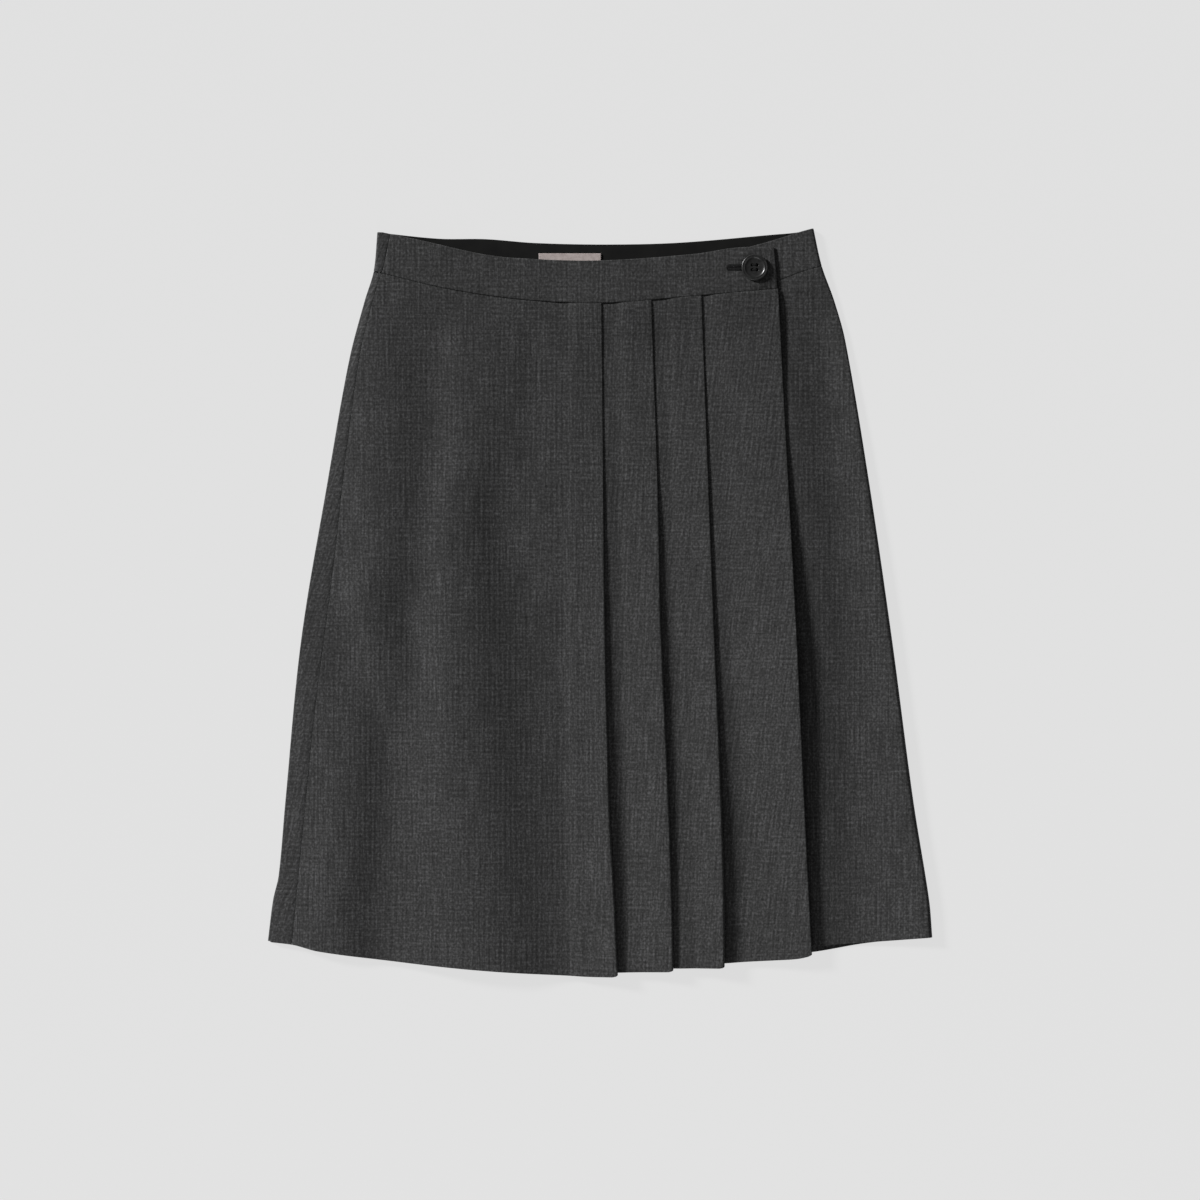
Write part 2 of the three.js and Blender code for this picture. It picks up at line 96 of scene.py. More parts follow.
def line(points):
    """A smooth line through a few (position, value) points, as a function of the position."""
    at, value = np.array(points, float).T
    slope = np.empty_like(at)
    slope[1:-1] = (value[2:] - value[:-2]) / (at[2:] - at[:-2])
    slope[0] = (value[1] - value[0]) / (at[1] - at[0])
    slope[-1] = (value[-1] - value[-2]) / (at[-1] - at[-2])

    def follow(position):
        position = np.asarray(position, float)
        i = np.clip(np.searchsorted(at, position, side="right") - 1, 0, len(at) - 2)
        step = at[i + 1] - at[i]
        t = np.clip((position - at[i]) / step, 0, 1)
        between_points = (
            (1 + 2 * t) * (1 - t) ** 2 * value[i]
            + t * (1 - t) ** 2 * step * slope[i]
            + t * t * (3 - 2 * t) * value[i + 1]
            + t * t * (t - 1) * step * slope[i + 1]
        )
        beyond = position - np.clip(position, at[0], at[-1])
        return between_points + beyond * np.where(beyond < 0, slope[0], slope[-1])

    return follow


def held(points):
    """The same, with its end values held beyond its ends."""
    first, last = points[0][0], points[-1][0]
    follow = line(points)
    return lambda position: follow(np.clip(position, first, last))


# ---------------------------------------------------------------- outlines, within 2 mm of the CAD model's

left_fold = line([(-284, -279.3), (-250, -275), (-230, -270.4), (-166, -264.6), (-31, -251.4), (103, -229),
                  (204, -211), (254, -197.9), (279, -190.3), (311, -187.3)])
right_fold = line([(-281, 279.3), (-250, 276.7), (-166, 263.3), (-31, 245.5), (103, 226), (220, 206.4),
                   (254, 197), (283, 186.5), (315, 179.4)])
side_seam = line([(-288, -259), (-184, -249), (-82, -238.6), (36, -223.4), (125, -213.4), (213, -200.8),
                  (265, -187.7), (281, -182.3), (307, -176.8)])
pleat_edges = [
    line([(-313, 15), (-250, 12.2), (-169, 8), (-8, 4.2), (252, 1.3)]),
    line([(-310, 61.6), (-250, 60.4), (-169, 57.8), (-8, 51), (73, 49.3), (252, 43.2)]),
    line([(-307, 104.6), (-250, 104.4), (-169, 102.2), (-8, 95.4), (252, 85.5)]),
]
wrap_edge = line([(-297, 178), (-169, 171.4), (-8, 163.8), (153, 155.4), (262, 149.8)])
wrap_band_end = line([(263, 149.3), (299, 146.1)])

wrap_seam = line([(-190, 278.6), (-131, 264.2), (-70, 255), (0, 251.5), (75, 257), (150, 263.7)])
wrap_band_top = line([(-187, 312), (-151, 304.3), (-100, 292.8), (-70, 289.3), (0, 287.2), (80, 292.7),
                      (113, 297.8), (146, 298.8)])
under_seam = line([(-160, 272.5), (-70, 256.2), (0, 252.6), (75, 258.2), (131, 265.4), (153, 271.7),
                   (171, 278.4), (186.5, 282.7)])
under_band_top = line([(-150, 302.3), (-70, 287.6), (0, 285.4), (80, 290.8), (113, 296.2), (131, 300.3),
                       (153, 306.7), (167, 311.2), (179.4, 314.6)])
back_band_top = line([(-187.3, 311.4), (-136, 306.2), (-96, 305.8), (-55, 302.6), (5, 301.3), (66, 302.8),
                      (146, 309.6), (167, 311.6), (179.4, 314.6)])
back_seam = line([(-190.3, 278.5), (-136, 271.2), (-96, 270.8), (-55, 267.6), (5, 266.3), (66, 267.8),
                  (146, 275.2), (186.5, 282.7)])
wrap_hems = [
    line([(-279, -285.4), (-257, -288), (-237, -293), (-166, -302.4), (-86, -309.8), (-15, -314.3),
          (14, -314.6)]),
    line([(13, -311), (60, -310.2)]),
    line([(60, -307.5), (103, -307.1)]),
    line([(103, -303.2), (146, -300.7), (166, -299.2), (178, -296.5)]),
]
under_hem = line([(-230, -288), (0, -300), (140, -292), (179, -289), (223, -286), (279.3, -281.4)])
back_hem = line([(-279.3, -284.6), (-140, -299), (0, -305), (110, -301), (179, -294.2), (224, -286.6),
                 (279.3, -281.4)])

# ---------------------------------------------------------------- pleats and soft folds

# How far each pleat stands up at its fold, from the band to the hem
pleat_heights = [
    held([(0, PRESSED), (0.18, 1.1), (0.3, 1.7), (0.48, 2.8), (0.62, 3.3), (0.8, 4), (1, 3.9)]),
    held([(0, PRESSED), (0.25, 1.3), (0.33, 2.4), (0.47, 3.3), (0.62, 3.5), (1, 3.4)]),
    held([(0, PRESSED), (0.16, 1.4), (0.33, 2.2), (0.47, 2.6), (0.62, 3.4), (0.77, 4.5), (0.9, 4.7),
          (1, 4.4)]),
]
pleat_depth = line([(0, 20), (1, 30)])
inner_radius = held([(0, 0.26), (0.3, 0.32), (1, 0.6)])  # of a pleat's hidden fold
wrap_edge_radius = held([(0, 0.35), (1, 0.7)])
# How far the last panel climbs to the wrap edge, and how late it does so
wrap_edge_rise = held([(0, 1), (0.06, 1.9), (0.16, 0.7), (0.22, 0.6), (0.34, 2.6), (0.5, 6.4), (0.57, 7.3),
                       (0.66, 6.9), (0.8, 5.2), (1, 3.7)])
wrap_edge_bow = held([(0, 0.9), (0.4, 1.1), (0.7, 1.9), (1, 2.3)])
pleat_bows = [2.4, 1.4, 1.4]  # how late each panel climbs to its fold
RISE_REACH = 12  # how far before a pleat's hidden layers its panel starts to climb
RIDGE_POWER = 2.4  # the shape of a ridge: 2 is a bell, and more is fuller at its crest
UNDER_SHARE, BACK_SHARE = 0.45, 0.08  # how much of the front's ridges the layers below follow


def ridge(crest, height, left, right):
    """A soft ridge. Each argument is a line of (y, value) down the skirt: where its crest lies, how high it
    stands, and how far it runs out to -X and to +X."""
    return [held(each) for each in (crest, height, left, right)]


FRONT_RIDGES = [
    # the long fold below the band, broad at the hem
    ridge([(-315, -100), (-200, -107), (-77, -118), (20, -122), (64, -122), (145, -114), (246, -112)],
          [(-315, 9.4), (-77, 9), (20, 8.2), (64, 6.4), (130, 4.2), (190, 3), (262, 1)],
          [(-315, 58), (-200, 52), (-77, 32), (20, 27), (80, 21), (246, 18)],
          [(-315, 52), (-77, 46), (20, 36), (64, 28), (246, 24)]),
    # the slanting fold over the hip
    ridge([(-100, -172), (-77, -177), (-36, -186), (2, -192), (44, -184), (86, -184), (246, -186)],
          [(-110, 0), (-77, 2.4), (-36, 4.4), (2, 6), (44, 5.8), (86, 5.4), (145, 4), (246, 2.4)],
          [(-110, 15), (0, 23), (60, 28), (246, 22)],
          [(-110, 19), (0, 27), (60, 36), (246, 32)]),
    # the fold that opens to the left corner of the hem
    ridge([(-315, -228), (-258, -224), (-218, -217), (-178, -212), (-117, -213), (-70, -222)],
          [(-315, 5.2), (-218, 5.8), (-140, 5), (-100, 3), (-60, 0)],
          [(-315, 30), (-60, 30)],
          [(-315, 32), (-178, 26), (-60, 24)]),
    # two small ones between the long fold and the first pleat
    ridge([(110, -78), (262, -76)], [(110, 0), (150, 1.6), (262, 2)], [(110, 22), (262, 22)],
          [(110, 14), (262, 14)]),
    ridge([(-20, -35), (262, -35)], [(-20, 0), (60, 0.9), (190, 0.9), (235, 0.5)], [(-20, 24), (262, 24)],
          [(-20, 14), (262, 14)]),
]
# each pleat stands on a swell of its own layers, which falls away past its fold
FRONT_RIDGES += [
    ridge([(y, float(edge(y))) for y in (-310, -170, 0, 250)],
          [(-315, 3.4), (-150, 3.2), (0, 2), (120, 0.9), (200, 0)],
          [(-315, 26), (262, 22)],
          [(-315, 12), (-100, 11), (262, 9)])
    for edge in pleat_edges
]
# the swell under the free edge of the wrap, which lifts both front layers
EDGE_RIDGES = [
    ridge([(-290, 174), (-100, 166), (100, 156), (250, 146)],
          [(-300, 3), (-150, 4.5), (0, 5), (120, 4.5), (200, 3.5), (262, 1)],
          [(-300, 45), (262, 55)],
          [(-300, 20), (-200, 30), (0, 38), (150, 28), (262, 18)]),
]


def relief(ridges, x, y):
    """The height that the ridges add together at a point."""
    total = np.zeros(np.broadcast(x, y).shape)
    for crest, height, left, right in ridges:
        aside = x - crest(y)
        share = np.abs(aside) / np.where(aside < 0, left(y), right(y))
        total = total + height(y) * np.exp(-(share ** RIDGE_POWER))
    return total


# ---------------------------------------------------------------- heights of the layers

wrap_band_level = held([(-183, UNDER_BAND_LEVEL), (-146, 6.6), (-40, 6.6), (0, 7.9), (100, 7.9),
                        (126, 7.5), (149, 6.3)])
right_fold_swell = held([(0, 0), (0.06, 1), (0.15, 2), (0.3, 3.6), (0.5, 5), (1, 5.5)])


def seam_roll(distance):
    """How far cloth dips at a distance from its seam."""
    return SEAM_DIP * np.exp(-((distance / SEAM_ROLL) ** 2))


def settle(down):
    """From 0 where a panel hangs from its band to 1 where it has come down to its own level."""
    return smooth(down, 0, SETTLE)


def under_level(x, y, down):
    """The under panel hangs from its band and is softly rounded towards the right fold."""
    at_band = BAND_FACE - CLOTH / 2 - SEAM_STEP
    swell = right_fold_swell(down) * ramp(x, wrap_edge(y) + 36, right_fold(y) - 5) ** 1.3
    free = UNDER_LEVEL + UNDER_SHARE * relief(FRONT_RIDGES, x, y) + relief(EDGE_RIDGES, x, y) + swell
    return mix(at_band, free, settle(down))


def wrap_level(x, y, down):
    """The wrap panel's lowest layer. At its band it lies lower where pleats are pressed over it, between the
    flat left front and the last panel."""
    pressed = mix(0.5, PRESSED, smooth(x, -60, -20)) - 0.7 * PRESSED * smooth(x, 88, 98)
    at_band = wrap_band_level(x) + BAND / 2 - CLOTH / 2 - SEAM_STEP - pressed
    free = WRAP_LEVEL + relief(FRONT_RIDGES, x, y) + relief(EDGE_RIDGES, x, y)
    return mix(at_band, free, settle(down))


def back_level(x, y, down):
    """The back lies on the table and lifts a little under the long folds."""
    return BACK_LEVEL + BACK_SHARE * relief(FRONT_RIDGES, x, y) * settle(down)


# ---------------------------------------------------------------- cloth as stations and rows

class Station:
    """One line down the cloth: x = along(y, down), z = height(x, y, down), from top(x) to bottom(x)."""

    def __init__(self, along, height, top, bottom):
        self.along, self.height, self.top, self.bottom = along, height, top, bottom

    def points(self, down, inset):
        y = mix(WAIST_Y, HEM_Y, down)
        for _ in range(6):  # x and y depend on each other, and a few rounds settle both
            x = self.along(y, down)
            y = mix(self.top(x) - inset, self.bottom(x) + inset, down)
        x = self.along(y, down)
        return np.stack([x, y, self.height(x, y, down) + 0 * x], axis=-1)


def between(start, end, shares, height, top, bottom):
    """Stations at the given shares of the way from the line start to the line end."""

    def along(share):
        return lambda y, down: mix(start(y, down), end(y, down), share)

    return [Station(along(share), height, top, bottom) for share in shares]


def even(count):
    """Shares from 0 to 1 in even steps."""
    return np.linspace(0, 1, count + 1)


def beside(edge, offset=0.0):
    """The line an offset toward +X from an edge."""
    return lambda y, down=None: edge(y) + offset


def constant(value):
    """A line, an edge or a height that is the same everywhere."""
    return lambda place, *others: value + 0 * place


def half_turn(edge, side, thickness, radius, upper, top, bottom, steps=10):
    """Half a turn from the upper to the lower layer. The outer face touches the line `edge` on the side given
    as 1 for +X or -1 for -X."""

    def station(angle):
        back = 1 - math.cos(angle)
        fall = 1 - math.sin(angle)
        return Station(
            lambda y, down: edge(y, down) - side * (radius(y, down) * back + thickness / 2),
            lambda x, y, down: upper(x, y, down) - radius(y, down) * fall,
            top, bottom)

    return [station(math.pi * (0.5 - share)) for share in even(steps)]


def developed(middle, origin):
    """Flat-cut coordinates of a grid of points: width measured across the cloth from one station, and y."""
    across = np.linalg.norm(np.diff(middle, axis=1)[..., [0, 2]], axis=-1)
    width = np.concatenate([np.zeros((len(middle), 1)), np.cumsum(across, axis=1)], axis=1)
    width = width - width[:, origin:origin + 1] + middle[:, origin:origin + 1, 0]
    return np.stack([width, middle[..., 1]], axis=-1)


def unit(vectors):
    return vectors / np.maximum(np.linalg.norm(vectors, axis=-1, keepdims=True), 1e-9)


def surface_normals(middle):
    return unit(np.cross(np.gradient(middle, axis=0), np.gradient(middle, axis=1)))


def mesh_object(name, points, faces, uv=None):
    """A smooth-shaded object in the scene. The UV map holds each point's place on the flat cut, in metres."""
    mesh = bpy.data.meshes.new(name)
    mesh.from_pydata(metres(points).tolist(), [], [tuple(face) for face in faces])
    if uv is not None:
        layer = mesh.uv_layers.new(name="cut")
        corners = np.empty(len(mesh.loops), dtype=np.int32)
        mesh.loops.foreach_get("vertex_index", corners)
        layer.data.foreach_set("uv", metres(uv)[corners].astype(np.float32).ravel())
    mesh.polygons.foreach_set("use_smooth", np.ones(len(mesh.polygons), dtype=bool))
    mesh.update()
    made = bpy.data.objects.new(name, mesh)
    bpy.context.scene.collection.objects.link(made)
    return made


RIM_ANGLES = np.radians([30, 60, 90, 120, 150])  # round the hem and the top edge
END_ANGLES = np.radians([35, 65, 82])  # out to the two ends across the cloth


def cloth(name, stations, rows, thickness, origin=0):
    """A wall of cloth on the stations, with every free edge rounded over, and its flat cut as its UV map."""
    half = thickness / 2
    middle = np.stack([each.points(rows, half) for each in stations], axis=1)
    uv = developed(middle, origin)
    normal = surface_normals(middle)

    # The two ends across the cloth are rounded by stations that step out as the wall thins.
    out, thin = half * np.sin(END_ANGLES), half * np.cos(END_ANGLES)

    def rounded_end(end, neighbour, side):
        outward = unit(middle[:, end] - middle[:, neighbour])
        steps = middle[:, end][:, None] + outward[:, None] * out[None, :, None]
        widths = uv[:, end][:, None] + np.stack([side * out, 0 * out], -1)[None]
        return steps, widths, np.repeat(normal[:, end][:, None], len(out), axis=1)

    middle, uv, normal = [
        np.concatenate([first[:, ::-1], whole, last], axis=1)
        for first, whole, last in zip(rounded_end(0, 1, -1), (middle, uv, normal), rounded_end(-1, -2, 1))]
    grow = np.concatenate([thin[::-1], np.full(len(stations), half), thin])[None, :, None]
    outer, inner = middle + normal * grow, middle - normal * grow

    def rim(row, neighbour, angles):
        outward = unit(middle[row] - middle[neighbour])
        sines, cosines = np.sin(angles)[:, None, None], np.cos(angles)[:, None, None]
        return middle[row] + grow[0] * (outward * sines + normal[row] * cosines)

    # One closed loop for each station: down the outer face, round the hem, up the inner face, round the top.
    loop = np.concatenate([outer, rim(-1, -2, RIM_ANGLES), inner[::-1], rim(0, 1, np.pi - RIM_ANGLES)])
    loop_uv = np.concatenate([uv, np.repeat(uv[-1:], len(RIM_ANGLES), 0), uv[::-1],
                              np.repeat(uv[:1], len(RIM_ANGLES), 0)])
    around, across = loop.shape[:2]
    index = np.arange(around * across).reshape(around, across)
    following = np.roll(index, -1, axis=0)
    quads = np.stack([index[:, :-1], following[:, :-1], following[:, 1:], index[:, 1:]], axis=-1)

    # Caps close the thin ends: each pairs the outer face with the inner face.
    count, bend = len(outer), len(RIM_ANGLES)
    caps = []
    for column, turn in ((0, 1), (across - 1, -1)):
        ring = index[:, column]
        pairs = [(ring[r], ring[2 * count + bend - 1 - r]) for r in range(count)]
        for (a, b), (c, d) in zip(pairs, pairs[1:]):
            caps.append((a, b, d, c)[::turn])
        caps.append((*ring[count - 1:count + bend + 1],)[::turn])
        caps.append((*ring[2 * count + bend - 1:], ring[0])[::turn])
    faces = [*quads.reshape(-1, 4).tolist(), *caps]
    return mesh_object(name, loop.reshape(-1, 3), faces, loop_uv.reshape(-1, 2))


# ---------------------------------------------------------------- the pieces of cloth

# Rows of points down a piece, closer together near its edges
PANEL_ROWS = np.unique(np.concatenate([
    np.linspace(0, 1, 128),
    np.array([0.6, 1.2, 1.8, 2.6, 3.6]) / PANEL_LENGTH,
    1 - np.array([0.7, 1.6, 3, 4.5]) / PANEL_LENGTH,
]))
BAND_ROWS = np.array([0, 0.015, 0.035, 0.07, 0.12, 0.2, 0.35, 0.5, 0.65, 0.8, 0.88, 0.93, 0.965, 0.985, 1])
CORNER, CORNER_LIFT = 5, 2.2  # over this width and by this much a hem turns up to the fold of its pleat
CORNER_Y = -305.0


def with_corner(hem, edge):
    corner = float(edge(CORNER_Y))
    return lambda x: hem(x) + CORNER_LIFT * ramp(x, corner - CORNER, corner + 0.5) ** 3


def waist_dip(x, y):
    """How far the wrap dips into its waist seam."""
    return seam_roll(y - wrap_seam(x))


def pleat(k, start, shares):
    """A panel from the line start to its fold, the turned-back layer, and the way out under the fold."""
    edge = pleat_edges[k]
    hem, next_hem = with_corner(wrap_hems[k], edge), wrap_hems[k + 1]
    top = lambda x: wrap_seam(x) - SEAM_GAP
    half_way = lambda x: mix(wrap_hems[k](x), next_hem(x), 0.5)
    outer = lambda y, down: pleat_heights[k](down) / 2 - inner_radius(down)
    inner = lambda y, down: inner_radius(down)
    flat_end = lambda y, down: edge(y) - outer(y, down) - CLOTH / 2
    hidden_fold = lambda y, down: edge(y) - pleat_depth(down)
    hidden_end = lambda y, down: hidden_fold(y, down) + inner_radius(down) + CLOTH / 2

    def rise(x, y, down):
        over_hidden = 2 * inner_radius(down) + CLOTH + PLEAT_GAP
        stack = hidden_fold(y, down)
        climb_start = np.maximum(start(y, down), stack - RISE_REACH)
        bow = ramp(x, stack, flat_end(y, down)) ** pleat_bows[k]
        return over_hidden * smooth(x, climb_start, stack) + (pleat_heights[k](down) - over_hidden) * bow

    base = lambda x, y, down: wrap_level(x, y, down) - waist_dip(x, y)
    upper = lambda x, y, down: base(x, y, down) + rise(x, y, down) - seam_roll(x - side_seam(y))
    fold_top = lambda x, y, down: base(x, y, down) + pleat_heights[k](down)
    returned = lambda x, y, down: base(x, y, down) + 2 * inner_radius(down)
    return [
        *between(start, flat_end, shares, upper, top, hem),
        *half_turn(beside(edge), 1, CLOTH, outer, fold_top, top, hem)[1:],
        *between(flat_end, hidden_end, even(4)[1:-1], returned, top, half_way),
        *half_turn(hidden_fold, -1, CLOTH, inner, returned, top, next_hem, 8),
        *between(hidden_end, beside(edge), even(5)[1:-1], base, top, next_hem),
    ]


LEFT_WIDTH = 225  # from the side seam to the first pleat, half way down
LEFT_SHARES = np.concatenate([
    np.array([0, 0.4, 0.8, 1.3, 2, 3, 4.5]) / LEFT_WIDTH, np.linspace(6.5 / LEFT_WIDTH, 1, 84)])


def wrap_panel():
    """The overlapping front: three pleats, a last panel, and the cloth turned under along its edge."""
    start = beside(side_seam, CLOTH / 2 + SEAM_GAP)
    stations = []
    for k, edge in enumerate(pleat_edges):
        stations += pleat(k, start, even(18) if k else LEFT_SHARES)
        start = beside(edge)
    last_pleat = start
    top = lambda x: wrap_seam(x) - SEAM_GAP
    hem = with_corner(wrap_hems[-1], wrap_edge)
    radius = lambda y, down: wrap_edge_radius(down)
    flat_end = lambda y, down: wrap_edge(y) - wrap_edge_radius(down) - CLOTH / 2
    upper = lambda x, y, down: (wrap_level(x, y, down) - waist_dip(x, y) + wrap_edge_rise(down)
                                * ramp(x, last_pleat(y, down), flat_end(y, down)) ** wrap_edge_bow(down))
    turned_under = lambda x, y, down: upper(x, y, down) - 2 * wrap_edge_radius(down)
    stations += between(start, flat_end, even(30), upper, top, hem)
    stations += half_turn(beside(wrap_edge), 1, CLOTH, radius, upper, top, hem)[1:]
    stations += between(flat_end, beside(wrap_edge, -FACING_WIDTH), even(10)[1:], turned_under, top, hem)
    return cloth("wrap_front", stations, PANEL_ROWS, CLOTH, origin=len(LEFT_SHARES) - 1)


UNDER_STEPS = 100


def under_panel():
    """The under front, which turns round the right fold to the back."""
    top = lambda x: under_seam(x) - SEAM_GAP
    level = lambda x, y, down: under_level(x, y, down) - seam_roll(y - under_seam(x))
    radius = lambda y, down: (under_level(right_fold(y), y, down) - BACK_LEVEL) / 2
    flat_end = lambda y, down: right_fold(y) - radius(y, down) - CLOTH / 2
    fold_top = lambda x, y, down: under_level(right_fold(y), y, down) - seam_roll(y - under_seam(x))
    stations = [
        *between(beside(side_seam, UNDER_INSET), flat_end, even(UNDER_STEPS), level, top, under_hem),
        *half_turn(beside(right_fold), 1, CLOTH, radius, fold_top, top, under_hem, 14)[1:],
        *between(flat_end, beside(right_fold, 0.5 - BACK_WRAP), even(6)[1:], constant(BACK_LEVEL), top,
                 under_hem),
    ]
    return cloth("under_front", stations, PANEL_ROWS, CLOTH, origin=UNDER_STEPS)


def back_panel():
    """The back, which turns round the left fold to the side seam on the front."""
    top = lambda x: back_seam(x) - SEAM_GAP
    strip_top = lambda x: wrap_seam(x) - SEAM_GAP
    seam_level = lambda y, down: wrap_level(side_seam(y), y, down)
    radius = lambda y, down: 0.3 * (seam_level(y, down) - BACK_LEVEL)
    fold_level = lambda y, down: BACK_LEVEL + 2 * radius(y, down)
    flat_end = lambda y, down: left_fold(y) + radius(y, down) + CLOTH / 2

    def strip(x, y, down):
        share = ramp(x, flat_end(y, down), side_seam(y))
        bulge = mix(fold_level(y, down), seam_level(y, down), np.sin(share * math.pi / 2))
        return bulge - seam_roll(side_seam(y) - x) - waist_dip(x, y)

    fold_top = lambda x, y, down: fold_level(y, down) - waist_dip(x, y)
    seam_edge = beside(side_seam, -CLOTH / 2 - SEAM_GAP)
    seam_shares = np.array([0, 0.02, 0.05, 0.09, 0.14, 0.22, 0.35, 0.5, 0.65, 0.8, 0.92])
    fold_steps = 12
    stations = [
        *between(seam_edge, flat_end, seam_shares, strip, strip_top, wrap_hems[0]),
        *half_turn(beside(left_fold), -1, CLOTH, radius, fold_top, top, back_hem, fold_steps),
        *between(flat_end, beside(right_fold, -BACK_WRAP - 0.5), even(90)[1:], back_level, top, back_hem),
    ]
    return cloth("back", stations, PANEL_ROWS, CLOTH, origin=len(seam_shares) + fold_steps)


def button_pucker(x, y):
    """How the band swells round its button, which is drawn tight to it."""
    from_ring = np.hypot(x - BUTTON_X, y - BUTTON_Y) - PUCKER_RADIUS
    return PUCKER * np.exp(-((from_ring / PUCKER_REACH) ** 2))


WRAP_BAND_WIDTH = 332


def wrap_band():
    """The wrap's doubled band, from the side seam to its free end past the button."""
    bottom = lambda x: wrap_seam(x) + SEAM_GAP
    level = lambda x, y, down: (wrap_band_level(x) - seam_roll(x - side_seam(y))
                                - seam_roll(y - wrap_seam(x)) + button_pucker(x, y))
    start, end = beside(side_seam, BAND / 2 + SEAM_GAP), beside(wrap_band_end, -BAND / 2)
    shares = np.unique(np.concatenate([np.array([0, 0.7, 1.5, 2.5]) / WRAP_BAND_WIDTH, even(150)]))
    return cloth("wrap_band", between(start, end, shares, level, wrap_band_top, bottom), BAND_ROWS, BAND)


def under_band():
    """The under front's doubled band, which carries the button and turns round the right fold."""
    bottom = lambda x: under_seam(x) + SEAM_GAP
    level = lambda x, y, down: UNDER_BAND_LEVEL - seam_roll(y - under_seam(x))
    radius = constant((UNDER_BAND_LEVEL - BAND / 2) / 2)
    flat_end = lambda y, down: right_fold(y) - radius(y, down) - BAND / 2
    stations = [
        *between(beside(side_seam, UNDER_INSET + 8), flat_end, even(120), level, under_band_top, bottom),
        *half_turn(beside(right_fold), 1, BAND, radius, level, under_band_top, bottom, 14)[1:],
        *between(flat_end, beside(right_fold, BAND / 2 + 0.2 - BACK_WRAP), even(6)[1:], constant(BAND / 2),
                 under_band_top, bottom),
    ]
    return cloth("under_band", stations, BAND_ROWS, BAND)


def back_band():
    """The back's band, which turns round the left fold to meet the wrap band."""
    bottom = lambda x: back_seam(x) + SEAM_GAP
    strip_bottom = lambda x: wrap_seam(x) + SEAM_GAP
    rest = BACK_BAND / 2
    top_level = BAND_FACE - rest
    radius = constant((top_level - rest) / 2)
    flat_end = lambda y, down: left_fold(y) + radius(y, down) + rest
    upper = lambda x, y, down: top_level - seam_roll(side_seam(y) - x) - seam_roll(y - wrap_seam(x))
    seam_edge = beside(side_seam, -rest - SEAM_GAP)
    seam_shares = np.array([0, 0.08, 0.18, 0.3, 0.5, 0.75])
    stations = [
        *between(seam_edge, flat_end, seam_shares, upper, wrap_band_top, strip_bottom),
        *half_turn(beside(left_fold), -1, BACK_BAND, radius, upper, back_band_top, bottom, 14),
        *between(flat_end, beside(right_fold, -BACK_WRAP - 0.6), even(120)[1:], constant(rest),
                 back_band_top, bottom),
    ]
    return cloth("back_band", stations, BAND_ROWS, BACK_BAND)


def band_facing():
    """The black facing on the inside of the back band."""
    top = lambda x: back_band_top(x) - 0.15
    stations = between(beside(left_fold, 12), beside(right_fold, -BACK_WRAP - 1), even(120),
                       constant(FACING_LEVEL), top, back_seam)
    return cloth("back_band_facing", stations, BAND_ROWS, FACING)


LABEL_LEFT, LABEL_TOP, LABEL_WIDTH, LABEL_HEIGHT, LABEL_CLOTH = -51.2, 293.6, 51.7, 13, 0.6


def label():
    """A blank label that lies on the facing, and whose lower part goes behind the front band."""
    stations = between(constant(LABEL_LEFT), constant(LABEL_LEFT + LABEL_WIDTH), even(60),
                       constant(LABEL_LEVEL), constant(LABEL_TOP), constant(LABEL_TOP - LABEL_HEIGHT))
    return cloth("blank_label", stations, BAND_ROWS, LABEL_CLOTH)


# ---------------------------------------------------------------- button, its thread and its buttonhole

BUTTON_RADIUS, BUTTON_HEIGHT = 11, 2.6
BUTTON_BASE = 8.4  # underside: the cloth gives a little under a fastened button
DISH = 0.55 * BUTTON_HEIGHT  # height of the dished middle over the underside
HOLE_SPACING, HOLE_RADIUS = 4.1, 1.25
THREAD_RADIUS, SHANK_THREAD_RADIUS, SHANK_RADIUS = 0.17, 0.24, 1.1
SHANK_TURNS = 9
EYELET_RADIUS, SLIT, SLIT_LENGTH = 1.8, 1.2, 24
CUT_FLOOR, CUT_TOP = 5.9, 12  # the buttonhole is cut through the wrap band, and not through the under band
HOLES = [(i * HOLE_SPACING / 2, j * HOLE_SPACING / 2) for i, j in ((-1, -1), (1, -1), (1, 1), (-1, 1))]


def arc(x, z, radius, start, end, steps):
    """Points on an arc about a centre, between two angles in degrees."""
    turn = np.radians(np.linspace(start, end, steps))
    return [(x + radius * math.cos(t), z + radius * math.sin(t)) for t in turn]


def turned(name, profile, x, y, base, sides=128):
    """A closed solid turned from a profile of (radius, height) that starts and ends on the axis. It stands at
    x, y with the profile's height 0 at the base."""
    ring = np.linspace(0, 2 * math.pi, sides, endpoint=False)
    inner = profile[1:-1]
    points = [(x + r * math.cos(t), y + r * math.sin(t), base + z) for r, z in inner for t in ring]
    last = len(points)
    points += [(x, y, base + profile[0][1]), (x, y, base + profile[-1][1])]
    faces = []
    for row in range(len(inner) - 1):
        for i in range(sides):
            j = (i + 1) % sides
            faces.append((row * sides + i, row * sides + j, (row + 1) * sides + j, (row + 1) * sides + i))
    top = (len(inner) - 1) * sides
    faces += [(last, (i + 1) % sides, i) for i in range(sides)]
    faces += [(last + 1, top + i, top + (i + 1) % sides) for i in range(sides)]
    return mesh_object(name, points, faces)


def plain_mesh(piece):
    """The mesh that a piece and its modifiers make."""
    graph = bpy.context.evaluated_depsgraph_get()
    return bpy.data.meshes.new_from_object(piece.evaluated_get(graph))


def cut_away(piece, cutters):
    """Cuts each cutter out of the piece and removes it."""
    for cutter in cutters:
        cut = piece.modifiers.new("cut", "BOOLEAN")
        cut.object = cutter
        cut.solver = "EXACT"
        made = plain_mesh(piece)
        piece.modifiers.clear()
        piece.data = made
        bpy.data.objects.remove(cutter)


